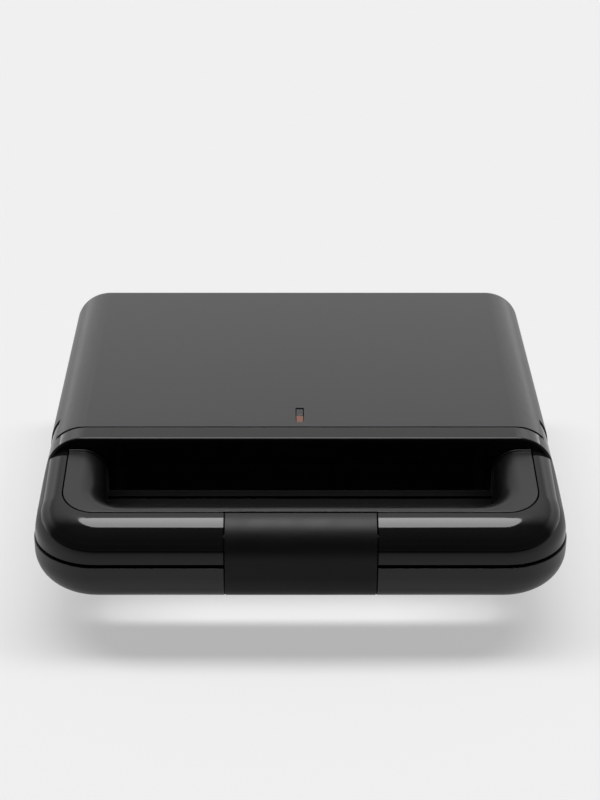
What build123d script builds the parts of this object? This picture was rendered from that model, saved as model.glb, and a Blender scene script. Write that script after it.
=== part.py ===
"""Donut maker with a hinged lid, a latch on the handle and two heated plates.

Millimetres, +Z up. The front faces -Y. The origin is on the table, under the middle of the overall box.
A depth is counted from the front of the handle, and a level is counted from the parting plane.
"""
import os
from math import atan, cos, degrees, radians, sin, tan

from build123d import *

# Overall form
BODY_WIDTH = 238.0
BODY_DEPTH = 219.5
LID_RISE = 31.3
BASE_DROP = 38.0
CORNER_R = 30.0
LID_SHOULDER_RUN = 18.0
LID_SHOULDER_LEVEL = 13.4
LID_SIDE_LEAN = 8.5
BASE_SHOULDER_RUN = 20.0
BASE_SHOULDER_LEVEL = 2.0
BASE_SIDE_LEAN = 0.0
REAR_EDGE_R = 4.0
WALL_EDGE_R = 0.8
PART_GAP = 1.5
WALL = 2.4
QUARTER_TURN = 90.0

# Handle
WALL_DEPTH = 58.7
HANDLE_STEP = 6.0
HANDLE_SLOPE = 8.55
HANDLE_EDGE_R = 15.5
HANDLE_DROP = 21.4
HANDLE_LOW_EDGE_R = 15.0
GRIP_DEPTH = 27.5
ARM_WIDTH = 30.6
GAP_CORNER_R = 10.0
TRIM_LINE = 14.5
TRIM_SIDE_LINE = 13.4
TRIM_ROLL = 11.0
TRIM_WALL = 2.0
TRIM_LIP = 0.8

# Seams of the lid
SEAM = 0.7
COVER_SEAM = 1.1
FRAME_STEP = 0.6
STRIP_DEPTH = 11.05
EAR_LENGTH = 17.35
EAR_STEP = 6.9

# Latch
LATCH_WIDTH = 66.0
LATCH_SKIN = 2.4
LATCH_GAP = 0.6
LATCH_SWEEP_GAP = 0.4
LATCH_PIVOT_DEPTH = 8.0
LATCH_PIVOT_DROP = 6.7
LATCH_PIN_R = 1.5
LATCH_LUG_R = 4.0
LATCH_LUG_WIDTH = 8.0
LATCH_LUG_INSET = 4.0
LATCH_NOSE_DEPTH = 8.0
LATCH_NOSE_TOP = 11.0
CHEEK = 3.6
CATCH_GAP = 0.3
CATCH_HEIGHT = 2.0
CATCH_PROUD = 1.2
CATCH_SPACE = 0.8

# Hinge
KNUCKLE_R = 6.0
KNUCKLE_GAP = 0.4
KNUCKLE_WIDTH = 16.0
HINGE_INSET = 41.0
EAR_WIDTH = 6.0
HINGE_SIDE_GAP = 0.3
HINGE_PIN_R = 2.0
STOP_LEVEL = 5.0

# Plates and their ring hollows
PLATE_SIDE_FRAME = 15.0
PLATE_END_FRAME = 5.3
PLATE_CORNER_R = 14.0
PLATE_LEVEL = 0.2
PLATE_THICKNESS = 3.4
PLATE_WALL = 2.5
RING_R = 18.5
TUBE_R = 10.0
RING_COLUMNS = 3
RING_ROWS = 2
RING_BORDER = 5.0
PLATE_GAP = 0.5

# Heating elements
ELEMENT_R = 3.25
ELEMENT_BEND_R = 8.0
ELEMENT_END_INSET = 16.0
ELEMENT_TURN_INSET = 30.0
ELEMENT_RIB_WIDTH = 11.0

# Reflectors
REFLECTOR_SHEET = 0.8
REFLECTOR_FLANGE = 2.0
REFLECTOR_SPACE = 1.0
ELEMENT_HOLE_R = 5.5

# Liners and posts
LINER_THICKNESS = 3.0
LINER_GAP = 0.3
POST_R = 3.5
SUPPORT_R = 4.0
SUPPORT_INSET = 11.0
SIDE_SCREW_INSET = 8.5
EAR_SCREW_SETBACK = 3.25
COVER_SCREWS_FROM_REAR = (88.0, 13.0)
BAR_SCREW_GAP = 26.4
ARM_SCREW_INSET = 22.0

# Screws
SCREW_R = 1.5
SCREW_HEAD_R = 2.9
SCREW_HEAD = 1.6
SCREW_BITE = 7.0
SCREW_RECESS = 1.8
BOSS_R = 4.5
BOSS_INSET = 8.0

# Indicator
WINDOW_SETBACK = 4.45
WINDOW_LENGTH = 13.6
WINDOW_WIDTH = 3.9
LENS_GAP = 0.3
LENS_RECESS = 0.4
LENS_EDGE_R = 0.3
LENS_FLANGE = 0.8
LAMP_LENGTH = 9.0
HOLDER_WALL = 1.2
HOLDER_SPACE = 2.1

# Thermostat and thermal fuse
THERMOSTAT_R = 8.5
THERMOSTAT_HEIGHT = 8.0
THERMOSTAT_CAP_R = 6.0
THERMOSTAT_CAP = 5.0
TAB_WIDTH = 6.3
TAB_THICKNESS = 0.8
TAB_LENGTH = 7.0
TAB_SPACING = 6.0
THERMOSTAT_HOLE_R = 10.0
FUSE_X = 50.0
FUSE_R = 2.0
FUSE_LENGTH = 12.0
CLIP_SHEET = 0.6
CLIP_WIDTH = 5.0
CLIP_FOOT = 5.0

# Cord entry and terminal block
CORD_R = 3.5
GLAND_NECK_R = 5.4
GLAND_COLLAR_R = 7.5
GLAND_COLLAR = 1.8
CORD_CUT_WIDTH = 50.0
CORD_CUT_HEIGHT = 20.0
CORD_PLATE_MARGIN = 6.0
CORD_PLATE = 2.0
TERMINAL_WIDTH = 34.0
TERMINAL_DEPTH = 16.0
TERMINAL_HEIGHT = 10.0
TERMINAL_FROM_ROW = 9.0
TERMINAL_BORE_R = 2.0
TERMINAL_PITCH = 10.0
WIRE_R = 1.0
WIRE_BEND_R = 3.0

# Feet
FOOT_R = 9.0
FOOT_STUD_R = 3.0
FOOT_STUD = 2.0
FOOT_HEIGHT = 7.0
FOOT_SIDE_INSET = 34.0
FOOT_END_INSET = 21.5
FOOT_EDGE_R = 1.0

# Clearances between pieces of one body
FIT = 0.05
RUNNING_FIT = 0.06
PRESS_FIT = 0.02

# Sizes and places that follow from those above
PART_HEIGHT = BASE_DROP + FOOT_HEIGHT
HINGE_SETBACK = KNUCKLE_R + KNUCKLE_GAP
TOTAL_DEPTH = BODY_DEPTH + HINGE_SETBACK + KNUCKLE_R
Y_FRONT = -TOTAL_DEPTH / 2
Y_REAR = Y_FRONT + BODY_DEPTH
Y_WALL = Y_FRONT + WALL_DEPTH
Y_HINGE = Y_REAR + HINGE_SETBACK
Y_GAP = Y_FRONT + GRIP_DEPTH
Y_SEAM = Y_WALL + STRIP_DEPTH
Y_EAR = Y_SEAM + EAR_LENGTH
SIDE_X = BODY_WIDTH / 2
GAP_HALF_WIDTH = SIDE_X - ARM_WIDTH
HINGE_X = SIDE_X - HINGE_INSET
HANDLE_RISE = LID_RISE - HANDLE_STEP
EAR_LEVEL = LID_RISE - EAR_STEP
LATCH_PIVOT_LEVEL = HANDLE_RISE - WALL_DEPTH * tan(radians(HANDLE_SLOPE)) - LATCH_PIVOT_DROP
SLOT_HALF = LATCH_WIDTH / 2 + LATCH_GAP
EDGE = PART_GAP / 2
LINER_TOP = EDGE + LINER_THICKNESS
ROOF = LID_RISE - WALL
FLOOR = BASE_DROP - WALL
CORD_LEVEL = (LINER_TOP + FLOOR) / 2
PLATE_WIDTH = BODY_WIDTH - 2 * PLATE_SIDE_FRAME
PLATE_SPACE = BODY_DEPTH - WALL_DEPTH - WALL - LINER_GAP
PLATE_DEPTH = PLATE_SPACE - 2 * PLATE_END_FRAME
Y_PLATE = Y_WALL + PLATE_SPACE / 2
RING_PITCH_X = (PLATE_WIDTH - 2 * RING_BORDER) / RING_COLUMNS
RING_PITCH_Y = (PLATE_DEPTH - 2 * RING_BORDER) / RING_ROWS
ROW_Y = (RING_ROWS - 1) / 2 * RING_PITCH_Y
ELEMENT_END_X = PLATE_WIDTH / 2 - ELEMENT_END_INSET
ELEMENT_TURN_X = ELEMENT_TURN_INSET - PLATE_WIDTH / 2
ELEMENT_LEVEL = PLATE_LEVEL + TUBE_R + PLATE_WALL + ELEMENT_R
REFLECTOR_LEVEL = ELEMENT_LEVEL + ELEMENT_R + REFLECTOR_SPACE
REFLECTOR_BACK = REFLECTOR_LEVEL + REFLECTOR_SHEET
WIRE_LEVEL = (REFLECTOR_BACK + ROOF) / 2
ELEMENT_END_LEVEL = WIRE_LEVEL + WIRE_R
HOLDER_HEIGHT = ROOF - REFLECTOR_BACK - HOLDER_SPACE
LAMP_R = (HOLDER_HEIGHT - HOLDER_WALL / 2 - LENS_FLANGE) / 2
BEYOND = 2 * (BODY_WIDTH + BODY_DEPTH)


def block(x, y, level):
    """Box between pairs of limits, the heights counted from the parting plane."""
    z = (PART_HEIGHT + level[0], PART_HEIGHT + level[1])
    sizes = [high - low for low, high in (x, y, z)]
    middle = [(low + high) / 2 for low, high in (x, y, z)]
    return Pos(*middle) * Box(*sizes)


def prism(face, low, high):
    """Upright solid on a plan face between two levels."""
    return extrude(Pos(0, 0, PART_HEIGHT + low) * face, amount=high - low)


def rod(radius, place, low, high):
    """Upright cylinder at a plan place between two levels."""
    return prism(Pos(*place) * Circle(radius), low, high)


def cross_rod(radius, x_low, x_high, y, level):
    """Cylinder along X between two limits."""
    start = Plane((x_low, y, PART_HEIGHT + level), x_dir=(0, 1, 0), z_dir=(1, 0, 0))
    return extrude(start * Circle(radius), amount=x_high - x_low)


def depth_rod(radius, y_low, y_high, x, level):
    """Cylinder along Y between two limits."""
    start = Plane((x, y_low, PART_HEIGHT + level), x_dir=(1, 0, 0), z_dir=(0, 1, 0))
    return extrude(start * Circle(radius), amount=y_high - y_low)


def lower(shape):
    """Same shape turned over about the parting plane."""
    return mirror(shape, about=Plane.XY.offset(PART_HEIGHT))


def both_sides(shape):
    """Shape on the right with its mirror image on the left."""
    return shape + mirror(shape, about=Plane.YZ)


def save(shape, node):
    """Write one piece to its own file."""
    export_step(shape, f"parts/{node}.step")


# Forms that the shells are cut from
def plan_face(inset=0.0, side_step=0.0):
    """Plan outline with rounded corners, drawn in by an inset and at the sides by a step more."""
    middle = Pos(0, (Y_FRONT + Y_REAR) / 2)
    outline = middle * Rectangle(BODY_WIDTH - 2 * (inset + side_step), BODY_DEPTH - 2 * inset)
    outline = fillet(outline.vertices().group_by(Axis.Y)[0], CORNER_R - inset)
    return fillet(outline.vertices().group_by(Axis.Y)[-1], max(REAR_EDGE_R - inset, WALL_EDGE_R))


def gap_face(inset=0.0):
    """Plan outline of the finger gap, widened by an inset and open towards the front wall."""
    low = Y_GAP - inset
    half = GAP_HALF_WIDTH + inset
    outline = Pos(0, (low + Y_WALL) / 2) * Rectangle(2 * half, Y_WALL - low)
    front = outline.vertices().group_by(Axis.Y)[0]
    return fillet(front, GAP_CORNER_R + inset)


LID_SECTION = (LID_RISE, LID_SHOULDER_RUN, LID_SHOULDER_LEVEL, LID_SIDE_LEAN)
BASE_SECTION = (BASE_DROP, BASE_SHOULDER_RUN, BASE_SHOULDER_LEVEL, BASE_SIDE_LEAN)


def side_form(section, inset, y_low, y_high, step=0.0):
    """Length of a half's section, set in by a step: leaning sides, elliptical shoulders and a flat top."""
    rise, run, level, lean = section
    slope = tan(radians(lean))
    crown = rise - level
    turn = atan(slope * crown / run)
    flat = SIDE_X - step - run * cos(turn) - (level + crown * sin(turn)) * slope
    run -= inset
    crown -= inset
    turn = atan(slope * crown / run)
    shoulder_x = flat + run * cos(turn)
    shoulder_level = level + crown * sin(turn)
    foot_x = shoulder_x + shoulder_level * slope
    arc = QUARTER_TURN - degrees(turn)
    outline = [
        Line((foot_x, 0), (shoulder_x, shoulder_level)),
        EllipticalCenterArc((flat, level), run, crown, degrees(turn), arc_size=arc),
        Line((flat, level + crown), (-flat, level + crown)),
        EllipticalCenterArc((-flat, level), run, crown, QUARTER_TURN, arc_size=arc),
        Line((-shoulder_x, shoulder_level), (-foot_x, 0)),
        Line((-foot_x, 0), (foot_x, 0)),
    ]
    face = make_face(outline)
    end = Plane((0, y_high, PART_HEIGHT), x_dir=(1, 0, 0), z_dir=(0, -1, 0))
    return extrude(end * face, amount=y_high - y_low)


def body_form(section, inset=0.0):
    """Body behind the front wall, with a rounded rear edge."""
    solid = side_form(section, inset, Y_WALL + inset, Y_REAR - inset)
    rear = solid.faces().sort_by(Axis.Y)[-1]
    crown = [edge for edge in rear.edges() if (edge @ 0.5).Z > PART_HEIGHT + FIT]
    return fillet(crown, max(REAR_EDGE_R - inset, WALL_EDGE_R))


def handle_top(rise, slope, inset):
    """Plane of a handle's flat face, which falls away from the wall to the front."""
    normal = (0, -sin(radians(slope)), cos(radians(slope)))
    return Plane((0, Y_WALL, PART_HEIGHT + rise), x_dir=(1, 0, 0), z_dir=normal).offset(-inset)


def handle_form(rise, slope, edge_r, section, y_end, inset, step):
    """Handle before its finger gap is cut, with a rolled outer edge that is set in by a step."""
    ahead = block((-BEYOND, BEYOND), (-BEYOND, y_end), (-1, section[0]))
    solid = prism(plan_face(inset + step), 0, section[0]) & ahead
    solid = split(solid, bisect_by=handle_top(rise, slope, inset), keep=Keep.BOTTOM)
    top = solid.faces().sort_by(Axis.Z)[-1]
    rim = [edge for edge in top.edges() if (edge @ 0.5).Y < y_end - FIT]
    solid = fillet(rim, edge_r - inset)
    return solid & side_form(section, inset, Y_FRONT - WALL, y_end + WALL, step)


def lid_handle(y_end, inset=0.0, step=FRAME_STEP):
    """Upper handle, which stands in from the base and from the latch by the step of the frame."""
    return handle_form(HANDLE_RISE, HANDLE_SLOPE, HANDLE_EDGE_R, LID_SECTION, y_end, inset, step)


def base_handle(y_end, inset=0.0):
    """Lower handle, turned over."""
    return handle_form(HANDLE_DROP, 0.0, HANDLE_LOW_EDGE_R, BASE_SECTION, y_end, inset, 0.0)


liner_space = prism(plan_face(WALL + LINER_GAP * 2 / 3), -1, LINER_TOP)
below_edge = block((-BEYOND, BEYOND), (-BEYOND, BEYOND), (-BEYOND, EDGE))
inside_wall = Y_WALL + WALL / 2

# Outer forms of the lid's cover and frame, and the space inside both
cover_outer = body_form(LID_SECTION)
frame_outer = side_form(LID_SECTION, 0.0, Y_WALL, Y_EAR, FRAME_STEP)
wall_edge = frame_outer.edges().filter_by(Axis.X).group_by(Axis.Y)[0].sort_by(Axis.Z)[-1]
frame_outer = fillet(wall_edge, WALL_EDGE_R) + lid_handle(Y_WALL)
lid_inner = body_form(LID_SECTION, WALL) + lid_handle(Y_WALL, WALL, 0.0) + below_edge + liner_space

# Places of the screws that hold a liner
sides = (-1, 1)
side_screw_x = SIDE_X - SIDE_SCREW_INSET
bar_screw_x = SLOT_HALF + BAR_SCREW_GAP
arm_screw_x = SIDE_X - ARM_SCREW_INSET
ear_places = [(side * side_screw_x, Y_SEAM + EAR_SCREW_SETBACK) for side in sides]
cover_places = [(side * side_screw_x, Y_REAR - gap) for side in sides for gap in COVER_SCREWS_FROM_REAR]
bar_places = [(side * bar_screw_x, Y_FRONT + (WALL + TRIM_LINE) / 2) for side in sides]
trim_places = [(side * bar_screw_x, Y_FRONT + (TRIM_LINE + GRIP_DEPTH) / 2) for side in sides]
trim_places += [(side * arm_screw_x, (Y_GAP + Y_WALL) / 2) for side in sides]
liner_places = ear_places + cover_places + bar_places + trim_places
support_y = PLATE_DEPTH / 2 - SUPPORT_INSET
support_places = [(x * RING_PITCH_X, Y_PLATE + y * support_y) for x in sides for y in sides]


def posts(places, form):
    """Screw posts that stand on a liner and end in the skin of a form."""
    result = Part()
    for place in places:
        result += rod(POST_R, place, LINER_TOP, BEYOND) & form
    return result


def pilots(places):
    """Screw holes in the posts."""
    result = Part()
    for place in places:
        result += rod(SCREW_R + FIT, place, EDGE, LINER_TOP + SCREW_BITE)
    return result


def supports(top):
    """Posts that press a reflector on to its liner."""
    result = Part()
    for place in support_places:
        result += rod(SUPPORT_R, place, REFLECTOR_BACK, top + WALL / 2)
    return result


# Lid cover: the part of the shell behind the seam, with hinge knuckles, posts and the window
cover_zone = block((-BEYOND, BEYOND), (Y_SEAM, BEYOND), (EAR_LEVEL + COVER_SEAM, BEYOND))
cover_zone += block((-BEYOND, BEYOND), (Y_EAR, BEYOND), (0, BEYOND))
frame_zone = block((-BEYOND, BEYOND), (-BEYOND, Y_SEAM - COVER_SEAM), (0, BEYOND))
frame_zone += block((-BEYOND, BEYOND), (-BEYOND, Y_EAR - COVER_SEAM), (0, EAR_LEVEL))

knuckle_low = HINGE_X - KNUCKLE_WIDTH / 2
knuckle_high = HINGE_X + KNUCKLE_WIDTH / 2
knuckle = cross_rod(KNUCKLE_R, knuckle_low, knuckle_high, Y_HINGE, 0)
knuckle += block((knuckle_low, knuckle_high), (Y_REAR - WALL / 2, Y_HINGE), (EDGE, KNUCKLE_R))
knuckle -= cross_rod(HINGE_PIN_R + RUNNING_FIT, knuckle_low, knuckle_high, Y_HINGE, 0)

window_low = Y_SEAM + WINDOW_SETBACK
window_high = window_low + WINDOW_LENGTH
window = block((-WINDOW_WIDTH / 2, WINDOW_WIDTH / 2), (window_low, window_high), (ROOF - 1, LID_RISE + 1))

lid_cover = ((cover_outer - lid_inner) & cover_zone) + posts(cover_places, cover_outer) + supports(ROOF)
lid_cover = lid_cover - pilots(cover_places) - window + both_sides(knuckle)

# Form of the handle trim, round the finger gap
def trim_form(inset=0.0):
    """Solid of the trim, with the flat and the gap drawn in by an inset."""
    ends = block((-BEYOND, BEYOND), (-BEYOND, Y_WALL - SEAM), (LINER_TOP, LID_RISE))
    solid = prism(plan_face(TRIM_LINE + SEAM, TRIM_SIDE_LINE - TRIM_LINE), LINER_TOP, LID_RISE) & ends
    solid -= prism(gap_face(inset), 0, LID_RISE)
    solid = split(solid, bisect_by=handle_top(HANDLE_RISE, HANDLE_SLOPE, inset), keep=Keep.BOTTOM)
    top = solid.faces().sort_by(Axis.Z)[-1]
    half = GAP_HALF_WIDTH + inset + FIT
    low = Y_GAP - inset - FIT
    rim = [edge for edge in top.edges() if abs((edge @ 0.5).X) < half and (edge @ 0.5).Y > low]
    return fillet(rim, TRIM_ROLL - inset)


# Lid frame: strip, front wall, ears and outer skin of the handle, with the cheeks of the latch pocket
pivot_y = Y_FRONT + LATCH_PIVOT_DEPTH
trim_corner = Y_FRONT + TRIM_LINE
trim_corner_level = HANDLE_RISE - (Y_WALL - trim_corner) * tan(radians(HANDLE_SLOPE))
latch_reach = ((trim_corner - pivot_y) ** 2 + (trim_corner_level - LATCH_PIVOT_LEVEL) ** 2) ** 0.5
latch_sweep = cross_rod(latch_reach + SEAM, -SLOT_HALF, SLOT_HALF, pivot_y, LATCH_PIVOT_LEVEL)
pocket_back = pivot_y + latch_reach + SEAM + LATCH_SWEEP_GAP
slot = block((-SLOT_HALF, SLOT_HALF), (-BEYOND, pocket_back), (-BEYOND, BEYOND))

before_wall = block((-BEYOND, BEYOND), (-BEYOND, Y_WALL), (-1, BEYOND))
trim_zone = prism(plan_face(TRIM_LINE, TRIM_SIDE_LINE - TRIM_LINE), -1, BEYOND) & before_wall
before_trim = block((-BEYOND, BEYOND), (-BEYOND, trim_corner + SEAM), (0, BEYOND))
under_trim = trim_form(TRIM_WALL + SEAM) + before_trim
under_trim &= lid_handle(Y_WALL, TRIM_WALL + SEAM)
cheek_high = SLOT_HALF + CHEEK
cheek_slab = block((SLOT_HALF, cheek_high), (-BEYOND, pocket_back + WALL), (LINER_TOP, BEYOND))
cheek = (lid_handle(Y_WALL) & cheek_slab) - trim_zone
cheek += under_trim & cheek_slab
pocket_slab = block((-cheek_high, cheek_high), (pocket_back, pocket_back + WALL), (LINER_TOP, BEYOND))
pocket_wall = under_trim & pocket_slab

lid_frame = ((frame_outer - lid_inner) & frame_zone) - trim_zone - slot
lid_frame = lid_frame + both_sides(cheek) + pocket_wall
lid_frame = lid_frame + posts(ear_places, frame_outer & frame_zone) + posts(bar_places, frame_outer)
lid_frame = lid_frame - pilots(ear_places + bar_places)
lid_frame -= cross_rod(LATCH_PIN_R + PRESS_FIT, -cheek_high, cheek_high, pivot_y, LATCH_PIVOT_LEVEL)


# Handle trim: channel with a rolled edge round the finger gap, and a lip along each end by the wall
trim_solid = trim_form()
trim_end = block((-BEYOND, BEYOND), (Y_WALL - SEAM - TRIM_LIP, Y_WALL), (LINER_TOP, BEYOND))
handle_trim = trim_solid + (trim_form(-TRIM_LIP) & trim_end)
handle_trim = handle_trim - trim_form(TRIM_WALL) + posts(trim_places, trim_solid)
handle_trim = handle_trim - pilots(trim_places) - latch_sweep

# Latch: skin over both handles, with two lugs on the pin and a nose under the catch
latch_x = (-LATCH_WIDTH / 2, LATCH_WIDTH / 2)
reach_disc = cross_rod(latch_reach, *latch_x, pivot_y, LATCH_PIVOT_LEVEL)
latch_outer = lid_handle(Y_WALL, 0.0, 0.0)
latch_top = (latch_outer - lid_handle(Y_WALL, LATCH_SKIN, 0.0)) & reach_disc
base_outer_handle = lower(base_handle(Y_WALL))
nose_y = Y_FRONT + LATCH_NOSE_DEPTH
skin_slab = block(latch_x, (Y_FRONT, Y_FRONT + LATCH_SKIN), (-HANDLE_DROP, LATCH_PIVOT_LEVEL))
nose_slab = block(latch_x, (Y_FRONT, nose_y), (-HANDLE_DROP, -LATCH_NOSE_TOP))
latch_front = (latch_outer + base_outer_handle) & (skin_slab + nose_slab)

lug_low = LATCH_WIDTH / 2 - LATCH_LUG_INSET - LATCH_LUG_WIDTH
lug_high = LATCH_WIDTH / 2 - LATCH_LUG_INSET
lug = cross_rod(LATCH_LUG_R, lug_low, lug_high, pivot_y, LATCH_PIVOT_LEVEL)
lug_levels = (LATCH_PIVOT_LEVEL - LATCH_LUG_R, LATCH_PIVOT_LEVEL + LATCH_LUG_R)
lug += block((lug_low, lug_high), (Y_FRONT, pivot_y), lug_levels) & lid_handle(Y_WALL, LATCH_SKIN / 2, 0.0)
latch = latch_top + latch_front + both_sides(lug)
latch -= cross_rod(LATCH_PIN_R + RUNNING_FIT, -LATCH_WIDTH, LATCH_WIDTH, pivot_y, LATCH_PIVOT_LEVEL)
latch_pin = cross_rod(LATCH_PIN_R, -cheek_high, cheek_high, pivot_y, LATCH_PIVOT_LEVEL)

# Base shell: housing and lower handle, with the latch recess, the catch and the hinge ears
recess_y = nose_y + CATCH_GAP + CATCH_PROUD
base_outer = body_form(BASE_SECTION) + base_handle(inside_wall)
base_inner = base_handle(Y_WALL, WALL) - prism(gap_face(WALL), -1, BASE_DROP)
base_inner += body_form(BASE_SECTION, WALL)
base_inner -= block((-cheek_high, cheek_high), (-BEYOND, recess_y + WALL), (-1, BEYOND))
base_half = base_outer - base_inner - prism(gap_face(), -1, BASE_DROP)
base_half -= block((-SLOT_HALF, SLOT_HALF), (-BEYOND, recess_y), (-1, BEYOND))
catch_levels = (LATCH_NOSE_TOP - CATCH_SPACE - CATCH_HEIGHT, LATCH_NOSE_TOP - CATCH_SPACE)
base_half += block((-SLOT_HALF, SLOT_HALF), (nose_y + CATCH_GAP, recess_y + WALL / 2), catch_levels)
base_half = base_half + posts(liner_places, base_outer) - pilots(liner_places)
base_half = base_half + supports(FLOOR) - below_edge - liner_space

foot_x = SIDE_X - FOOT_SIDE_INSET
foot_ys = (Y_WALL + FOOT_END_INSET, Y_REAR - FOOT_END_INSET)
foot_places = [(side * foot_x, y) for side in sides for y in foot_ys]
for place in foot_places:
    base_half -= rod(FOOT_STUD_R + FIT, place, FLOOR - 1, BASE_DROP)

cord_levels = (CORD_LEVEL - CORD_CUT_HEIGHT / 2, CORD_LEVEL + CORD_CUT_HEIGHT / 2)
base_half -= block((-CORD_CUT_WIDTH / 2, CORD_CUT_WIDTH / 2), (Y_REAR - WALL - 1, Y_REAR + 1), cord_levels)
cord_screw_x = CORD_CUT_WIDTH / 2 + CORD_PLATE_MARGIN / 2
for side in sides:
    base_half -= depth_rod(SCREW_R + FIT, Y_REAR - WALL - 1, Y_REAR + 1, side * cord_screw_x, CORD_LEVEL)

base_shell = lower(base_half)
for low in (knuckle_low - HINGE_SIDE_GAP - EAR_WIDTH, knuckle_high + HINGE_SIDE_GAP):
    hinge_ear = cross_rod(KNUCKLE_R, low, low + EAR_WIDTH, Y_HINGE, 0)
    hinge_ear += block((low, low + EAR_WIDTH), (Y_REAR - WALL / 2, Y_HINGE), (-KNUCKLE_R, -EDGE))
    hinge_ear += block((low, low + EAR_WIDTH), (Y_HINGE, Y_HINGE + KNUCKLE_R), (-EDGE, STOP_LEVEL))
    hinge_ear -= cross_rod(HINGE_PIN_R + PRESS_FIT, low, low + EAR_WIDTH, Y_HINGE, 0)
    base_shell += both_sides(hinge_ear)

pin_low = knuckle_low - HINGE_SIDE_GAP - EAR_WIDTH
pin_high = knuckle_high + HINGE_SIDE_GAP + EAR_WIDTH
hinge_pins = both_sides(cross_rod(HINGE_PIN_R, pin_low, pin_high, Y_HINGE, 0))

# Liner: flat frame round the plate and under the handle, screwed to the posts
plate_place = Pos(0, Y_PLATE)
plate_window = plate_place * RectangleRounded(
    PLATE_WIDTH + 2 * PLATE_GAP, PLATE_DEPTH + 2 * PLATE_GAP, PLATE_CORNER_R + PLATE_GAP
)
liner = prism(plan_face(WALL + LINER_GAP), EDGE, LINER_TOP) - prism(plate_window, EDGE, LINER_TOP)
liner -= prism(gap_face(), EDGE, LINER_TOP)
notch_half = cheek_high + LINER_GAP
liner -= block((-notch_half, notch_half), (-BEYOND, recess_y + WALL + LINER_GAP), (EDGE, LINER_TOP))
screws = Part()
for place in liner_places:
    head_level = EDGE + SCREW_RECESS - SCREW_HEAD
    liner -= rod(SCREW_HEAD_R + FIT, place, EDGE, EDGE + SCREW_RECESS)
    liner -= rod(SCREW_R + FIT, place, EDGE, LINER_TOP)
    screws += rod(SCREW_HEAD_R, place, head_level, EDGE + SCREW_RECESS)
    screws += rod(SCREW_R, place, EDGE + SCREW_RECESS, LINER_TOP + SCREW_BITE)

# Plate: casting with ring hollows, ribs that hold the element and bosses for its screws
ring_places = [
    ((column - (RING_COLUMNS - 1) / 2) * RING_PITCH_X, Y_PLATE + (row - (RING_ROWS - 1) / 2) * RING_PITCH_Y)
    for column in range(RING_COLUMNS)
    for row in range(RING_ROWS)
]
plate_top = PLATE_LEVEL + PLATE_THICKNESS
plate_outline = plate_place * RectangleRounded(PLATE_WIDTH, PLATE_DEPTH, PLATE_CORNER_R)
behind_face = block((-BEYOND, BEYOND), (-BEYOND, BEYOND), (PLATE_LEVEL, BEYOND))
rib_half = ELEMENT_RIB_WIDTH / 2
element_points = [
    (ELEMENT_END_X, Y_PLATE - ROW_Y, PART_HEIGHT + ELEMENT_END_LEVEL),
    (ELEMENT_END_X, Y_PLATE - ROW_Y, PART_HEIGHT + ELEMENT_LEVEL),
    (ELEMENT_TURN_X, Y_PLATE - ROW_Y, PART_HEIGHT + ELEMENT_LEVEL),
    (ELEMENT_TURN_X, Y_PLATE + ROW_Y, PART_HEIGHT + ELEMENT_LEVEL),
    (ELEMENT_END_X, Y_PLATE + ROW_Y, PART_HEIGHT + ELEMENT_LEVEL),
    (ELEMENT_END_X, Y_PLATE + ROW_Y, PART_HEIGHT + ELEMENT_END_LEVEL),
]


def tube(points, radius, bend_r):
    """Round rod along a run of straight lengths joined by bends."""
    path = FilletPolyline(*points, radius=bend_r)
    start = Plane(path @ 0, z_dir=path % 0)
    return sweep(start * Circle(radius), path=path)


plate = prism(plate_outline, PLATE_LEVEL, plate_top)
rib_end_x = ELEMENT_END_X - ELEMENT_BEND_R
rib_levels = (PLATE_LEVEL, ELEMENT_LEVEL)
turn_x = (ELEMENT_TURN_X - rib_half, ELEMENT_TURN_X + rib_half)
for side in sides:
    rib_y = Y_PLATE + side * ROW_Y
    plate += block((turn_x[0], rib_end_x), (rib_y - rib_half, rib_y + rib_half), rib_levels)
plate += block(turn_x, (Y_PLATE - ROW_Y, Y_PLATE + ROW_Y), rib_levels)
for x, y in ring_places:
    plate += Pos(x, y, PART_HEIGHT + PLATE_LEVEL) * Torus(RING_R, TUBE_R + PLATE_WALL) & behind_face
for x, y in ring_places:
    plate -= Pos(x, y, PART_HEIGHT + PLATE_LEVEL) * Torus(RING_R, TUBE_R)
plate -= tube(element_points, ELEMENT_R + FIT, ELEMENT_BEND_R)
boss_x = PLATE_WIDTH / 2 - BOSS_INSET
boss_places = [(x, Y_PLATE) for x in (-boss_x, RING_PITCH_X / 2, boss_x)]
plate_screws = Part()
for place in boss_places:
    plate += rod(BOSS_R, place, plate_top, REFLECTOR_LEVEL)
    plate -= rod(SCREW_R + FIT, place, REFLECTOR_BACK - SCREW_BITE, REFLECTOR_LEVEL)
    plate_screws += rod(SCREW_HEAD_R, place, REFLECTOR_BACK, REFLECTOR_BACK + SCREW_HEAD)
    plate_screws += rod(SCREW_R, place, REFLECTOR_BACK - SCREW_BITE, REFLECTOR_BACK)
element = tube(element_points, ELEMENT_R, ELEMENT_BEND_R)


# Reflector: sheet tray over the element, its flange on the back of the liner
def tray_face(margin):
    """Plan outline of the tray, widened by a margin."""
    width = PLATE_WIDTH + 2 * PLATE_GAP + 2 * margin
    depth = PLATE_DEPTH + 2 * PLATE_GAP + 2 * margin
    return plate_place * RectangleRounded(width, depth, PLATE_CORNER_R + PLATE_GAP + margin)


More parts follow.
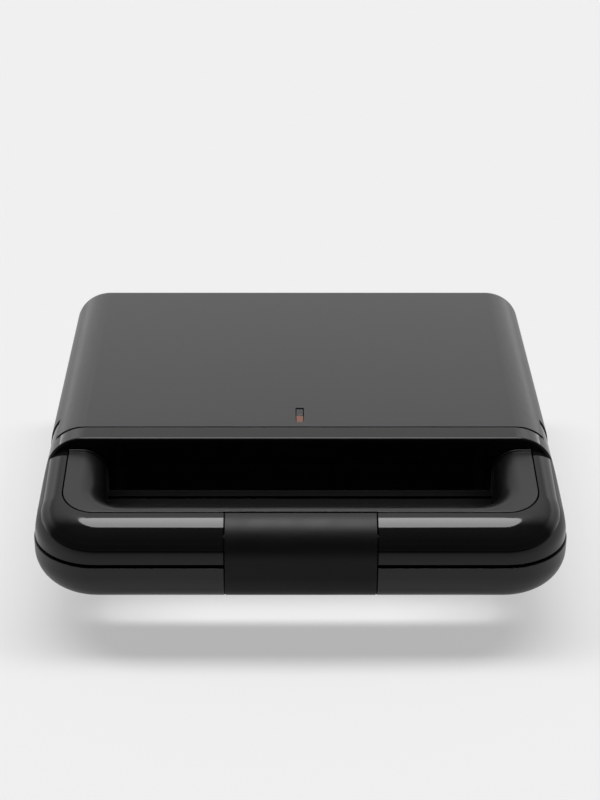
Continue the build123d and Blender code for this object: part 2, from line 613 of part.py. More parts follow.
reflector = prism(tray_face(REFLECTOR_SHEET), LINER_TOP, REFLECTOR_BACK)
reflector += prism(tray_face(REFLECTOR_FLANGE), LINER_TOP, LINER_TOP + REFLECTOR_SHEET)
reflector -= prism(tray_face(0), LINER_TOP, REFLECTOR_LEVEL)
for place in boss_places:
    reflector -= rod(SCREW_R + FIT, place, REFLECTOR_LEVEL, REFLECTOR_BACK)
for side in sides:
    reflector -= rod(ELEMENT_HOLE_R, (ELEMENT_END_X, Y_PLATE + side * ROW_Y), REFLECTOR_LEVEL, REFLECTOR_BACK)
thermostat_place = (-RING_PITCH_X / 2, Y_PLATE)
lower_reflector = reflector - rod(THERMOSTAT_HOLE_R, thermostat_place, REFLECTOR_LEVEL, REFLECTOR_BACK)

# Thermostat on the back of the lower plate
cap_level = plate_top + THERMOSTAT_HEIGHT
tab_level = cap_level + THERMOSTAT_CAP
thermostat = rod(THERMOSTAT_R, thermostat_place, plate_top, cap_level)
thermostat += rod(THERMOSTAT_CAP_R, thermostat_place, cap_level, tab_level)
for side in sides:
    tab_low = thermostat_place[0] + side * TAB_SPACING / 2 - TAB_THICKNESS / 2
    tab_y = (Y_PLATE - TAB_WIDTH / 2, Y_PLATE + TAB_WIDTH / 2)
    thermostat += block((tab_low, tab_low + TAB_THICKNESS), tab_y, (tab_level, tab_level + TAB_LENGTH))

# Thermal fuse under a sheet clip on the back of the upper reflector
fuse_level = REFLECTOR_BACK + FUSE_R
fuse_low = FUSE_X - FUSE_LENGTH / 2
thermal_fuse = cross_rod(FUSE_R, fuse_low, fuse_low + FUSE_LENGTH, Y_PLATE, fuse_level)
clip_x = (FUSE_X - CLIP_WIDTH / 2, FUSE_X + CLIP_WIDTH / 2)
arch_half = FUSE_R + FIT + CLIP_SHEET
arch_top = fuse_level + FUSE_R + FIT + CLIP_SHEET
fuse_clip = block(clip_x, (Y_PLATE - arch_half, Y_PLATE + arch_half), (REFLECTOR_BACK, arch_top))
fuse_clip += block(
    clip_x,
    (Y_PLATE - arch_half - CLIP_FOOT, Y_PLATE + arch_half + CLIP_FOOT),
    (REFLECTOR_BACK, REFLECTOR_BACK + CLIP_SHEET),
)
fuse_clip -= block(
    clip_x, (Y_PLATE - FUSE_R - FIT, Y_PLATE + FUSE_R + FIT), (REFLECTOR_BACK, arch_top - CLIP_SHEET)
)

# Indicator: two lenses in the window, with a lamp under each in one holder
lens_length = (WINDOW_LENGTH - 3 * LENS_GAP) / 2
lens_half = WINDOW_WIDTH / 2 - LENS_GAP
window_middle = (window_low + window_high) / 2


def lens(y_low):
    """Lens with a flange under the cover."""
    y = (y_low, y_low + lens_length)
    body = block((-lens_half, lens_half), y, (ROOF, LID_RISE - LENS_RECESS))
    crown = fillet(body.faces().sort_by(Axis.Z)[-1].edges(), LENS_EDGE_R)
    flange_half = lens_half + LENS_FLANGE
    return crown + block((-flange_half, flange_half), y, (ROOF - LENS_FLANGE, ROOF))


power_lens = lens(window_low + LENS_GAP)
ready_lens = lens(window_low + 2 * LENS_GAP + lens_length)

holder_half = LAMP_LENGTH / 2 + HOLDER_WALL
holder_low = window_middle - lens_length - LENS_GAP - HOLDER_WALL
holder_high = window_middle + lens_length + LENS_GAP + HOLDER_WALL
lamp_holder = block((-holder_half, holder_half), (holder_low, holder_high), (ROOF - HOLDER_HEIGHT, ROOF))
indicator_lamps = Part()
for side in sides:
    lamp_y = window_middle + side * (lens_length + LENS_GAP) / 2
    cell_half = (lens_length - HOLDER_WALL) / 2
    cell_y = (lamp_y - cell_half, lamp_y + cell_half)
    cell_level = ROOF - HOLDER_HEIGHT + HOLDER_WALL / 2
    lamp_end = LAMP_LENGTH / 2 - FIT
    lamp_holder -= block((-LAMP_LENGTH / 2, LAMP_LENGTH / 2), cell_y, (cell_level, ROOF))
    indicator_lamps += cross_rod(LAMP_R, -lamp_end, lamp_end, lamp_y, cell_level + LAMP_R)
flange_room = lens_half + LENS_FLANGE + FIT
lamp_holder -= block((-flange_room, flange_room), (window_low, window_high), (ROOF - LENS_FLANGE - FIT, ROOF))

# Cord entry: plate inside the rear wall, with a rubber gland
plate_face_y = Y_REAR - WALL
plate_half = CORD_CUT_WIDTH / 2 + CORD_PLATE_MARGIN
plate_levels = (-cord_levels[1] - CORD_PLATE_MARGIN / 2, -cord_levels[0] + CORD_PLATE_MARGIN / 2)
cord_plate = block((-plate_half, plate_half), (plate_face_y - CORD_PLATE, plate_face_y), plate_levels)
cord_plate -= depth_rod(GLAND_NECK_R + FIT, plate_face_y - CORD_PLATE, plate_face_y, 0, -CORD_LEVEL)
cord_screws = Part()
for side in sides:
    screw_x = side * cord_screw_x
    cord_plate -= depth_rod(SCREW_R + FIT, plate_face_y - CORD_PLATE, plate_face_y, screw_x, -CORD_LEVEL)
    cord_screws += depth_rod(SCREW_R, plate_face_y - CORD_PLATE, Y_REAR, screw_x, -CORD_LEVEL)
    cord_screws += depth_rod(SCREW_HEAD_R, Y_REAR, Y_REAR + SCREW_HEAD, screw_x, -CORD_LEVEL)
gland_low = plate_face_y - CORD_PLATE - GLAND_COLLAR
gland_high = plate_face_y + GLAND_COLLAR
cord_gland = depth_rod(GLAND_NECK_R, gland_low, gland_high, 0, -CORD_LEVEL)
cord_gland += depth_rod(GLAND_COLLAR_R, gland_low, plate_face_y - CORD_PLATE, 0, -CORD_LEVEL)
cord_gland += depth_rod(GLAND_COLLAR_R, plate_face_y, gland_high, 0, -CORD_LEVEL)
cord_gland -= depth_rod(CORD_R, gland_low, gland_high, 0, -CORD_LEVEL)

# Terminal block on the floor of the base
terminal_low = Y_PLATE + ROW_Y + TERMINAL_FROM_ROW
terminal_ys = (terminal_low, terminal_low + TERMINAL_DEPTH)
terminal_top = -FLOOR + TERMINAL_HEIGHT
terminal_block = block((-TERMINAL_WIDTH / 2, TERMINAL_WIDTH / 2), terminal_ys, (-FLOOR, terminal_top))
for way in (-1, 0, 1):
    terminal_x = way * TERMINAL_PITCH
    terminal_block -= depth_rod(TERMINAL_BORE_R, *terminal_ys, terminal_x, -FLOOR + TERMINAL_HEIGHT / 2)

# Rubber feet with studs in the floor of the base
rubber_feet = Part()
for place in foot_places:
    pad = rod(FOOT_R, place, -PART_HEIGHT, -BASE_DROP)
    sole = pad.edges().group_by(Axis.Z)[0]
    rubber_feet += fillet(sole, FOOT_EDGE_R) + rod(FOOT_STUD_R, place, -BASE_DROP, -FLOOR + FOOT_STUD)

# Wiring behind the reflectors
end_y = (Y_PLATE - ROW_Y, Y_PLATE + ROW_Y)


def wire(*points):
    """Insulated wire through points given as X, Y and level."""
    return tube([(x, y, PART_HEIGHT + level) for x, y, level in points], WIRE_R, WIRE_BEND_R)


tip_x = ELEMENT_END_X - ELEMENT_R
lid_wiring = wire(
    (tip_x, end_y[0], WIRE_LEVEL),
    (FUSE_X + FUSE_LENGTH, end_y[0], WIRE_LEVEL),
    (FUSE_X + FUSE_LENGTH, Y_PLATE, fuse_level),
    (FUSE_X + FUSE_LENGTH / 2, Y_PLATE, fuse_level),
)
base_wiring = wire(
    (tip_x, end_y[1], -WIRE_LEVEL),
    (TERMINAL_PITCH, end_y[1], -WIRE_LEVEL),
    (TERMINAL_PITCH, terminal_ys[0] - 2 * WIRE_BEND_R, -FLOOR + TERMINAL_HEIGHT / 2),
    (TERMINAL_PITCH, terminal_ys[0], -FLOOR + TERMINAL_HEIGHT / 2),
)

os.makedirs("parts", exist_ok=True)
save(lid_cover, "lid_cover")
save(lid_frame, "lid_frame")
save(handle_trim, "handle_trim")
save(latch, "latch")
save(latch_pin, "latch_pin")
save(base_shell, "base_shell")
save(hinge_pins, "hinge_pins")
save(liner, "lid_liner")
save(lower(liner), "base_liner")
save(screws, "lid_screws")
save(lower(screws), "base_screws")
save(plate, "upper_plate")
save(lower(plate), "lower_plate")
save(plate_screws, "upper_plate_screws")
save(lower(plate_screws), "lower_plate_screws")
save(element, "upper_element")
save(lower(element), "lower_element")
save(reflector, "upper_reflector")
save(lower(lower_reflector), "lower_reflector")
save(lower(thermostat), "thermostat")
save(thermal_fuse, "thermal_fuse")
save(fuse_clip, "fuse_clip")
save(power_lens, "power_lens")
save(ready_lens, "ready_lens")
save(lamp_holder, "lamp_holder")
save(indicator_lamps, "indicator_lamps")
save(cord_plate, "cord_plate")
save(cord_screws, "cord_plate_screws")
save(cord_gland, "cord_gland")
save(terminal_block, "terminal_block")
save(rubber_feet, "rubber_feet")
save(lid_wiring, "lid_wiring")
save(base_wiring, "base_wiring")
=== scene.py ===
"""Looks of the donut maker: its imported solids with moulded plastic, cast metal and rubber finishes."""

import bpy
import numpy as np
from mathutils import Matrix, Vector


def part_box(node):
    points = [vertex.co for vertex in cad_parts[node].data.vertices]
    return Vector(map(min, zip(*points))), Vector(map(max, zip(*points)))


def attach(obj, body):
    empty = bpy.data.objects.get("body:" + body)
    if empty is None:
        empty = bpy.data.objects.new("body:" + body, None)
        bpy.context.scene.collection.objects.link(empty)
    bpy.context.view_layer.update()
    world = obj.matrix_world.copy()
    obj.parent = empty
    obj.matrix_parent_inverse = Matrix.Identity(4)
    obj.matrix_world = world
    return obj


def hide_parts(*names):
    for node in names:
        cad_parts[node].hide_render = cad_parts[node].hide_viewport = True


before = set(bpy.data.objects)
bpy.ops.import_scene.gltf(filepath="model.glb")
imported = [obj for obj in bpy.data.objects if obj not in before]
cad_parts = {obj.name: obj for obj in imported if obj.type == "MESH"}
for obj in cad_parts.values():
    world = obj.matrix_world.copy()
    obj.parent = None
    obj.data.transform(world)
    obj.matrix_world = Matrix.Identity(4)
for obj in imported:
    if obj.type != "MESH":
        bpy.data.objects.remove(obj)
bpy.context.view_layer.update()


# Base shell: satin black lower housing with the lower half of the handle, moulded in one piece of ABS.
# Its mould was lightly spark eroded, which leaves a fine even grain and a broad soft sheen.
# A real grain is too fine to show in the render, so this one and the other pieces' are drawn coarser.
mm_per_m = 1000
smooth = {"interpolation_type": "SMOOTHSTEP"}
# Numbers of a Mix node's sockets for colours, because its sockets share their names.
first_colour, second_colour, mixed_colour = 6, 7, 2


def linear(hex_colour):
    """Linear RGBA of an sRGB hex colour, by the sRGB transfer curve."""
    levels = np.array([int(hex_colour[i : i + 2], 16) for i in (1, 3, 5)]) / 255
    curve = np.where(levels <= 0.04045, levels / 12.92, ((levels + 0.055) / 1.055) ** 2.4)
    return (*curve.tolist(), 1.0)


def add(tree, kind, settings=None, links=None, **inputs):
    """Add a node, set its properties and input values, and link the sockets given by input name."""
    node = tree.nodes.new(kind)
    for name, value in (settings or {}).items():
        setattr(node, name, value)
    for name, value in inputs.items():
        node.inputs[name.replace("_", " ")].default_value = value
    for name, socket in (links or {}).items():
        tree.links.new(socket, node.inputs[name])
    return node


def surface(name, dark, light, rough, cloud_mm, grain_mm, bump, edge_mm=0.25, stretch=(1, 1, 1), **sockets):
    """Finish with clouded colour and gloss, a relief grain that can be drawn out one way, and soft edges.

    Broad noise carries the colour from dark to light and the roughness through its range. Fine noise, a
    quarter as high as it is wide, makes the relief, and bump is its strength. Other sockets go by name.
    """
    noise_low, noise_high, corner_samples = 0.15, 0.85, 6
    material = bpy.data.materials.new(name)
    material.use_nodes = True
    tree = material.node_tree
    shader = tree.nodes["Principled BSDF"]
    spot = add(tree, "ShaderNodeTexCoord").outputs["Object"]
    cloud = add(tree, "ShaderNodeTexNoise", links={"Vector": spot}, Scale=mm_per_m / cloud_mm, Detail=3.0)
    tint = add(tree, "ShaderNodeMix", {"data_type": "RGBA"}, {0: cloud.outputs["Fac"]})
    tint.inputs[first_colour].default_value = linear(dark)
    tint.inputs[second_colour].default_value = linear(light)
    tree.links.new(tint.outputs[mixed_colour], shader.inputs["Base Color"])
    drawn = add(tree, "ShaderNodeMapping", links={"Vector": spot}, Scale=stretch)
    lines = {"Vector": drawn.outputs["Vector"]}
    grain = add(tree, "ShaderNodeTexNoise", links=lines, Scale=mm_per_m / grain_mm, Detail=2.0)
    clouds = {"Value": cloud.outputs["Fac"]}
    gloss = add(tree, "ShaderNodeMapRange", smooth, clouds, From_Min=noise_low, From_Max=noise_high)
    gloss.inputs["To Min"].default_value = rough[0]
    gloss.inputs["To Max"].default_value = rough[1]
    tree.links.new(gloss.outputs["Result"], shader.inputs["Roughness"])
    rounded = add(tree, "ShaderNodeBevel", {"samples": corner_samples}, Radius=edge_mm / mm_per_m)
    heights = {"Height": grain.outputs["Fac"], "Normal": rounded.outputs["Normal"]}
    relief = add(tree, "ShaderNodeBump", links=heights, Strength=bump, Distance=grain_mm / 4 / mm_per_m)
    tree.links.new(relief.outputs["Normal"], shader.inputs["Normal"])
    for socket, value in sockets.items():
        shader.inputs[socket.replace("_", " ")].default_value = value
    return material


def finish(material, *nodes):
    """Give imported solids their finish."""
    for node in nodes:
        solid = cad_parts[node]
        solid.data.materials.clear()
        solid.data.materials.append(material)


satin = surface(
    "satin_abs_base", "#151516", "#19191b", rough=(0.3, 0.36), cloud_mm=40, grain_mm=0.6, bump=0.05
)
finish(satin, "base_shell")

# Rubber feet: four moulded pads whose studs are pulled through the floor of the base.
# Handling and the table leave them a little dusty, in dull patches of two greys.
rubber = surface(
    "moulded_rubber_foot", "#141414", "#242423", rough=(0.6, 0.75), cloud_mm=6, grain_mm=0.4, bump=0.25
)
finish(rubber, "rubber_feet")

# Cord entry: glass-filled plate screwed to the rear wall, with a soft black gland in its hole.
# Both are dull black, as they come out of the mould.
# Two zinc-plated screws go in from outside, cold headed from wire with a domed head and a cross.
plate = surface(
    "glass_filled_cord_plate", "#131314", "#1c1c1d", rough=(0.45, 0.55), cloud_mm=10, grain_mm=0.5, bump=0.1
)
finish(plate, "cord_plate")
gland = surface(
    "soft_rubber_gland", "#0f0f0f", "#1b1b1b", rough=(0.55, 0.68), cloud_mm=5, grain_mm=0.4, bump=0.2
)
finish(gland, "cord_gland")
zinc = surface(
    "zinc_plated_steel",
    "#8e8e90",
    "#b4b3b0",
    rough=(0.28, 0.42),
    cloud_mm=2,
    grain_mm=0.3,
    bump=0.1,
    edge_mm=0.15,
    Metallic=1.0,
)


def screw_set(node, body, places, turn, shank):
    """Surfaces of revolution, a profile turned in equal steps, each with a cross pressed into its head.

    The profile goes from the middle of the domed head over its rim and down the shank to the tip. The cross
    sinks by a ramp of the distance to the nearer of its two axes, and less towards the ends of its arms.
    """
    head_radius, head, dome_rise, dome_steps = 2.9, 1.6, 0.35, 18
    dome_edge, rim_edge, rim_top, rim_foot = 0.3, 0.1, 0.42, 0.6
    shank_radius, tip_radius, taper = 1.5, 0.6, 1.2
    cross_half, cross_reach, cross_depth, cross_slope = 0.55, 1.8, 0.9, 0.2
    arm_end, arm_rise, facets = 0.15, 0.3, 48
    tip = head + shank
    dome = np.linspace(0, head_radius - dome_edge, dome_steps)[1:]
    rim = [(head_radius - rim_edge, rim_top), (head_radius, rim_foot), (head_radius, head)]
    stem = [(shank_radius, head), (shank_radius, tip - taper), (tip_radius, tip)]
    flank = np.array(rim + stem)
    radius = np.append(dome, flank[:, 0])
    sink = np.append(dome_rise * (dome / head_radius) ** 2, flank[:, 1])
    angle = np.linspace(0, 2 * np.pi, facets, endpoint=False)
    x = np.outer(radius, np.cos(angle))
    y = np.outer(radius, np.sin(angle))
    from_axis = np.minimum(np.abs(x), np.abs(y))
    along = np.hypot(x, y) / cross_reach
    arms = np.clip((cross_half - from_axis) / cross_slope, 0, 1)
    cross = arms * np.clip((1 - along) / arm_end, 0, 1)
    cross[len(dome) :] = 0
    z = -sink[:, None] - cross_depth * cross * (1 - arm_rise * along)
    rings = np.stack([x, y, z], axis=-1).reshape(-1, 3)
    poles = np.array([[0, 0, -cross_depth], [0, 0, -tip]])
    one = np.concatenate([rings, poles]) @ np.array(turn, float).T
    step = np.arange(facets)
    after = np.roll(step, -1)
    inner = np.arange(len(radius) - 1)[:, None] * facets
    outer = inner + facets
    quads = np.stack([inner + step, outer + step, outer + after, inner + after], axis=-1)
    last = (len(radius) - 1) * facets
    top = np.stack([np.full_like(step, len(rings)), step, after], axis=-1)
    bottom = np.stack([np.full_like(step, len(rings) + 1), last + after, last + step], axis=-1)
    points = (np.array(places)[:, None] + one).reshape(-1, 3) / mm_per_m
    shift = (np.arange(len(places)) * len(one))[:, None, None]
    walls = (quads.reshape(1, -1, 4) + shift).reshape(-1, 4)
    caps = (np.concatenate([top, bottom])[None] + shift).reshape(-1, 3)
    mesh = bpy.data.meshes.new(f"headed_{node}")
    mesh.from_pydata(points.tolist(), [], walls.tolist() + caps.tolist())
    mesh.shade_smooth()
    mesh.materials.append(zinc)
    piece = bpy.data.objects.new(f"headed_{node}", mesh)
    bpy.context.collection.objects.link(piece)
    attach(piece, body)
    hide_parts(node)


cord_screw_x = 28.0
cord_shank = 4.4
faces_back = [[1, 0, 0], [0, 0, 1], [0, -1, 0]]
cord_low, cord_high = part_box("cord_plate_screws")
cord_face = cord_high.y * mm_per_m
cord_height = (cord_low.z + cord_high.z) / 2 * mm_per_m
cord_places = [(side * cord_screw_x, cord_face, cord_height) for side in (-1, 1)]
screw_set("cord_plate_screws", "base", cord_places, faces_back, cord_shank)

# Terminal block and wiring: natural nylon block on the floor of the base, with silicone-insulated wire.
# Both are creamy and dull. The base and the lid each have their own length of wire.
nylon = surface(
    "natural_nylon", "#cfc9b8", "#ded9cb", rough=(0.4, 0.5), cloud_mm=8, grain_mm=0.5, bump=0.08
)
finish(nylon, "terminal_block")
sleeve = surface(
    "silicone_sleeve", "#c9c3b2", "#ddd8ca", rough=(0.45, 0.55), cloud_mm=5, grain_mm=0.4, bump=0.1
)
finish(sleeve, "base_wiring", "lid_wiring")

# Reflectors: trays of bright aluminised sheet, pressed with a flange, behind the heaters.
# The sheet is rolled, and its grain of fine lines runs across the object.
rolled = surface(
    "aluminised_sheet",
    "#b9b9b7",
    "#d2d2d0",
    rough=(0.28, 0.36),
    cloud_mm=12,
    grain_mm=0.5,
    bump=0.08,
    edge_mm=0.15,
    stretch=(0.05, 1, 1),
    Metallic=1.0,
)
finish(rolled, "lower_reflector", "upper_reflector")

# Heating elements: steel tubes bent into a loop and cast over by the ribs of the plates.
# Heat has turned the sheath straw and brown, in patches along the tube.
sheath = surface(
    "heat_tinted_sheath",
    "#6d5a45",
    "#a39a8c",
    rough=(0.35, 0.5),
    cloud_mm=14,
    grain_mm=0.4,
    bump=0.12,
    Metallic=1.0,
)
finish(sheath, "lower_element", "upper_element")

# Thermostat, thermal fuse and clip: pressed steel cases that are clamped to the hot side.
# A spring clip cut from sheet holds the fuse, and all have a dull silver sheen.
pressed = surface(
    "pressed_steel_case",
    "#a5a39c",
    "#c6c4bd",
    rough=(0.28, 0.38),
    cloud_mm=5,
    grain_mm=0.4,
    bump=0.08,
    edge_mm=0.15,
    Metallic=1.0,
)
finish(pressed, "thermostat", "thermal_fuse", "fuse_clip")

# Plates: cast aluminium with ring hollows, shot blasted and sprayed with dark non-stick coating.
# The coating follows the fine pits of the blasting and has a dull sheen.
coating = surface(
    "non_stick_coating", "#1a1a1b", "#232324", rough=(0.36, 0.48), cloud_mm=25, grain_mm=0.35, bump=0.3
)
finish(coating, "lower_plate", "upper_plate")

# Liners: flat frames of heat-resistant glass-filled nylon round the plates, held by recessed screws.
# Glass fibre in the plastic gives a dull and slightly cloudy face.
# Each liner has six screws a side, and three more behind it hold the plate to its reflector.
glass_filled = surface(
    "glass_filled_nylon", "#101011", "#19191a", rough=(0.42, 0.52), cloud_mm=18, grain_mm=0.5, bump=0.1
)
finish(glass_filled, "lid_liner", "base_liner")
finish(zinc, "lower_plate_screws", "upper_plate_screws")
liner_screws = ((110.5, -42.95), (110.5, 15.55), (110.5, 90.55), (60, -107.5), (60, -94.95), (97, -72.85))
liner_shank = 8.2
faces_up = np.eye(3)
faces_down = np.diag([1, -1, -1])
base_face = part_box("base_screws")[1].z * mm_per_m
lid_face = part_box("lid_screws")[0].z * mm_per_m
base_places = [(side * x, y, base_face) for x, y in liner_screws for side in (-1, 1)]
lid_places = [(side * x, y, lid_face) for x, y in liner_screws for side in (-1, 1)]
screw_set("base_screws", "base", base_places, faces_up, liner_shank)
screw_set("lid_screws", "lid", lid_places, faces_down, liner_shank)

# Hinge pins and latch pin: ground steel rods pressed into the ears and cheeks, and blackened.
# Grinding leaves fine rings round each pin.
ground = surface(
    "blackened_steel_pin",
    "#1d1d1e",
    "#2b2b2c",
    rough=(0.3, 0.4),
    cloud_mm=8,
    grain_mm=0.3,
    bump=0.08,
    edge_mm=0.1,
    stretch=(1, 0.1, 0.1),
    Metallic=1.0,
)
finish(ground, "hinge_pins", "latch_pin")

# Lid cover: satin dark top with rolled shoulders, moulded in ABS and spark textured.
# It is screwed to the liner from below and meets the frame at a shadow gap across the front.
cover = surface(
    "satin_abs_cover", "#19181a", "#1d1b1e", rough=(0.28, 0.31), cloud_mm=60, grain_mm=1.2, bump=0.02
)
finish(cover, "lid_cover")

# Indicator: two acrylic lenses set below the cover in one slot, amber-red in front and smoke grey behind.
# Neon lamps lie under them in a white nylon holder.
for node, dark, light in (("power_lens", "#6f4230", "#7b4a37"), ("ready_lens", "#161617", "#1d1d1f")):
    tinted = surface(
        f"tinted_acrylic_{node}",
        dark,
        light,
        rough=(0.12, 0.2),
        cloud_mm=3,
        grain_mm=0.6,
        bump=0.05,
        edge_mm=0.15,
        Transmission_Weight=0.15,
    )
    finish(tinted, node)
holder = surface(
    "white_nylon_holder", "#d8d5cb", "#e6e3da", rough=(0.4, 0.5), cloud_mm=6, grain_mm=0.5, bump=0.08
)
finish(holder, "lamp_holder")
bulb = surface(
    "neon_lamp_glass",
    "#d8c3ab",
    "#eadac6",
    rough=(0.04, 0.08),
    cloud_mm=4,
    grain_mm=1.0,
    bump=0.02,
    Transmission_Weight=0.9,
)
finish(bulb, "indicator_lamps")

# Lid frame: strip, front wall, ears and outer skin of the handle, one glossy black ABS moulding.
# It comes out of a polished mould, so it mirrors the room.
polished = surface(
    "polished_abs_frame",
    "#101011",
    "#131314",
    rough=(0.04, 0.07),
    cloud_mm=40,
    grain_mm=6.0,
    bump=0.004,
    edge_mm=0.15,
    Specular_IOR_Level=0.38,
)
finish(polished, "lid_frame")

# Handle trim: matte black ABS channel round the finger gap, screwed up from the liner.
# Its mould is lightly etched, so it only shows broad soft light.
channel = surface(
    "etched_abs_trim",
    "#0b0b0c",
    "#0f0f10",
    rough=(0.29, 0.34),
    cloud_mm=30,
    grain_mm=0.5,
    bump=0.06,
    edge_mm=0.6,
    Specular_IOR_Level=0.44,
)
finish(channel, "handle_trim")

# Latch: matte black ABS clip that swings on its pin in the middle of the handle.
# Its mould is etched deeper than the trim's, so it is the dullest piece of the front.
etched = surface(
    "etched_abs_latch",
    "#0a0a0b",
    "#0e0e0f",
    rough=(0.4, 0.48),
    cloud_mm=12,
    grain_mm=0.5,
    bump=0.08,
    Specular_IOR_Level=0.25,
)
finish(etched, "latch")

# Floor: sheet of matte paper under the appliance, which is not part of it.
# To the camera, in mirrors and through glass it glows up to the pale backdrop, and it keeps the shadow.
# In mirrors its colour is painted darker towards the camera as painted shade, because that side of the studio
# is dark.
half_size = 6.0
paper_tone = "#a1a1a1"
painted_shade_tone = "#202020"
glow_level = 0.45
dark_start = -0.18
dark_end = -0.70
dark_least = 0.3
corners = np.array([[-1, -1, 0], [1, -1, 0], [1, 1, 0], [-1, 1, 0]]) * half_size
floor_mesh = bpy.data.meshes.new("floor")
floor_mesh.from_pydata(corners.tolist(), [], [(0, 1, 2, 3)])
floor = bpy.data.objects.new("floor", floor_mesh)
bpy.context.collection.objects.link(floor)
paper = bpy.data.materials.new("matte_paper")
paper.use_nodes = True
sheet = paper.node_tree
face = sheet.nodes["Principled BSDF"]
face.inputs["Roughness"].default_value = 0.9
face.inputs["Specular IOR Level"].default_value = 0.0
face.inputs["Emission Color"].default_value = (1, 1, 1, 1)
path = add(sheet, "ShaderNodeLightPath").outputs
floor_spot = add(sheet, "ShaderNodeTexCoord").outputs["Object"]
ahead = add(sheet, "ShaderNodeSeparateXYZ", links={"Vector": floor_spot}).outputs["Y"]
far = add(sheet, "ShaderNodeMapRange", links={"Value": ahead}, From_Min=dark_start, From_Max=dark_end)
far.inputs["To Min"].default_value = dark_least
unlit = add(sheet, "ShaderNodeMath", {"operation": "MULTIPLY"}, {0: far.outputs[0], 1: path["Is Glossy Ray"]})
# Painted shade: for glossy rays the paper's colour is mixed towards a dark grey, more strongly towards the
# camera.
tone = add(sheet, "ShaderNodeMix", {"data_type": "RGBA"}, {0: unlit.outputs[0]})
tone.inputs[first_colour].default_value = linear(paper_tone)
tone.inputs[second_colour].default_value = linear(painted_shade_tone)
sheet.links.new(tone.outputs[mixed_colour], face.inputs["Base Color"])
open_rays = {0: path["Is Camera Ray"], 1: path["Is Glossy Ray"]}
either = add(sheet, "ShaderNodeMath", {"operation": "MAXIMUM"}, open_rays)
glass_rays = {0: either.outputs[0], 1: path["Is Transmission Ray"]}
seen = add(sheet, "ShaderNodeMath", {"operation": "MAXIMUM"}, glass_rays)
near = add(sheet, "ShaderNodeMath", {"operation": "SUBTRACT"}, {0: seen.outputs[0], 1: unlit.outputs[0]})
glow = add(sheet, "ShaderNodeMath", {"operation": "MULTIPLY"}, {0: near.outputs[0]})
glow.inputs[1].default_value = glow_level
sheet.links.new(glow.outputs[0], face.inputs["Emission Strength"])
floor_mesh.materials.append(paper)

# Studio: a long soft lamp lies overhead across the object. A row of suns stands for it, so that shadows
# fade to their ends. Gloss mirrors a round diffuser in its place, and a pale room behind it that is dark
# on the camera's side. Matte surfaces get only a share of the room's light.
lamp_tilt = np.radians(10.5)
lamp_leans = np.radians([-30, -15, 0, 15, 30])
lamp_energy = 3.6
lamp_width = np.radians(18)
for number, lean in enumerate(lamp_leans):
    lamp_data = bpy.data.lights.new(f"lamp_{number}", "SUN")
    lamp_data.energy = lamp_energy / len(lamp_leans)
    lamp_data.angle = lamp_width
    lamp = bpy.data.objects.new(f"lamp_{number}", lamp_data)
    lamp.rotation_euler = (-lamp_tilt, lean, 0)
    lamp.visible_glossy = False
    bpy.context.collection.objects.link(lamp)

backdrop_tone = "#efefef"
room_share = 0.25
front_level = 0.1
rear_level = 2.0
front_end = -0.15
rear_end = 0.35
diffuser_level = 7.9
diffuser_tilt = np.radians(5.5)
diffuser_rim = np.radians(18.5)
diffuser_fade = np.radians(1.0)
low_stops = ((0.0, 1.0), (0.1, 0.5), (0.25, 0.42), (0.36, 0.56), (0.42, 0.58))
high_stops = ((0.52, 0.31), (0.7, 0.5), (0.85, 0.6))
world = bpy.data.worlds.new("studio")
bpy.context.scene.world = world
world.use_nodes = True
room = world.node_tree
backdrop = room.nodes["Background"]
direction = add(room, "ShaderNodeTexCoord").outputs["Generated"]
parts = add(room, "ShaderNodeSeparateXYZ", links={"Vector": direction})
rise = add(room, "ShaderNodeValToRGB", links={"Fac": parts.outputs["Z"]})
for height, grey in low_stops + high_stops:
    rise.color_ramp.elements.new(height).color = (grey, grey, grey, 1)
rise.color_ramp.elements.remove(rise.color_ramp.elements[0])
depth = {"Value": parts.outputs["Y"]}
behind = add(room, "ShaderNodeMapRange", smooth, depth, From_Min=front_end, From_Max=rear_end)
behind.inputs["To Min"].default_value = front_level
behind.inputs["To Max"].default_value = rear_level
room_walls = {0: rise.outputs["Color"], 1: behind.outputs["Result"]}
level = add(room, "ShaderNodeMath", {"operation": "MULTIPLY"}, room_walls)
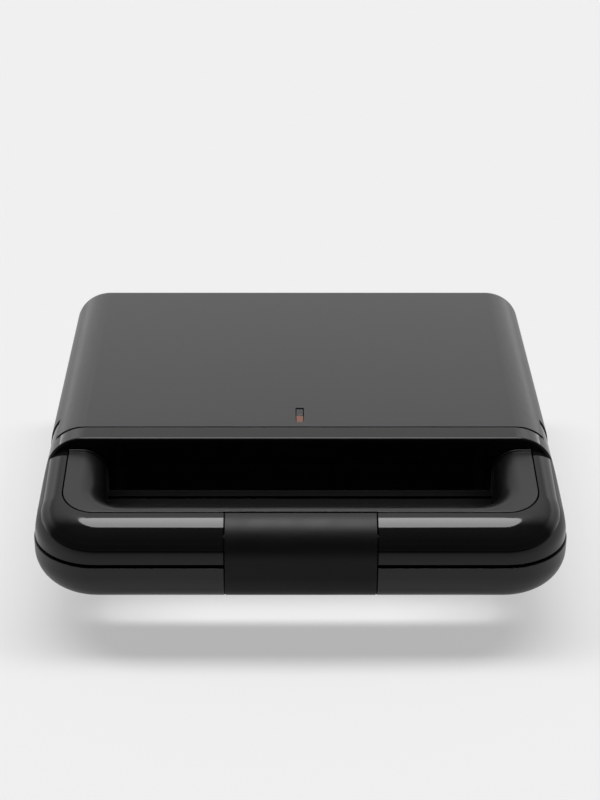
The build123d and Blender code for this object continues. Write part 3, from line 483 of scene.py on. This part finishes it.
towards = add(room, "ShaderNodeVectorMath", {"operation": "DOT_PRODUCT"}, {0: direction})
towards.inputs[1].default_value = (0, np.sin(diffuser_tilt), np.cos(diffuser_tilt))
spread = {"Value": towards.outputs["Value"]}
rim_start, rim_end = np.cos([diffuser_rim + diffuser_fade, diffuser_rim - diffuser_fade])
diffuser = add(room, "ShaderNodeMapRange", smooth, spread, From_Min=rim_start, From_Max=rim_end)
diffuser.inputs["To Max"].default_value = diffuser_level
paths = add(room, "ShaderNodeLightPath").outputs
mirrored = paths["Is Glossy Ray"]
share = add(room, "ShaderNodeMapRange", links={"Value": mirrored})
share.inputs["To Min"].default_value = room_share
shared = {0: level.outputs["Value"], 1: share.outputs["Result"]}
walls_seen = add(room, "ShaderNodeMath", {"operation": "MULTIPLY"}, shared)
lamp_seen = {0: diffuser.outputs["Result"], 1: mirrored, 2: walls_seen.outputs["Value"]}
lit = add(room, "ShaderNodeMath", {"operation": "MULTIPLY_ADD"}, lamp_seen)
straight = {0: paths["Is Camera Ray"], 1: paths["Is Transmission Ray"]}
direct = add(room, "ShaderNodeMath", {"operation": "MAXIMUM"}, straight)
# Numbers of a Mix node's sockets for plain values.
first_value, second_value, mixed_value = 2, 3, 0
pale = add(room, "ShaderNodeMix", links={0: direct.outputs["Value"], first_value: lit.outputs["Value"]})
pale.inputs[second_value].default_value = linear(backdrop_tone)[0]
room.links.new(pale.outputs[mixed_value], backdrop.inputs["Strength"])
backdrop.inputs["Color"].default_value = (1, 1, 1, 1)

# Camera: stands in front of the appliance, a little left of its middle, and looks 28 degrees down.
# Its place and its long lens are fitted to the outline in the photograph.
look_down = 28
camera_data = bpy.data.cameras.new("camera")
camera_data.sensor_width = 36.0
camera_data.lens = 83.4
camera_data.shift_x = 0.0208
camera = bpy.data.objects.new("camera", camera_data)
camera.location = (-0.0076, -0.79095, 0.486)
camera.rotation_euler = (np.radians(90 - look_down), 0, 0)
bpy.context.collection.objects.link(camera)
bpy.context.scene.camera = camera
bpy.context.scene.view_settings.view_transform = "Standard"
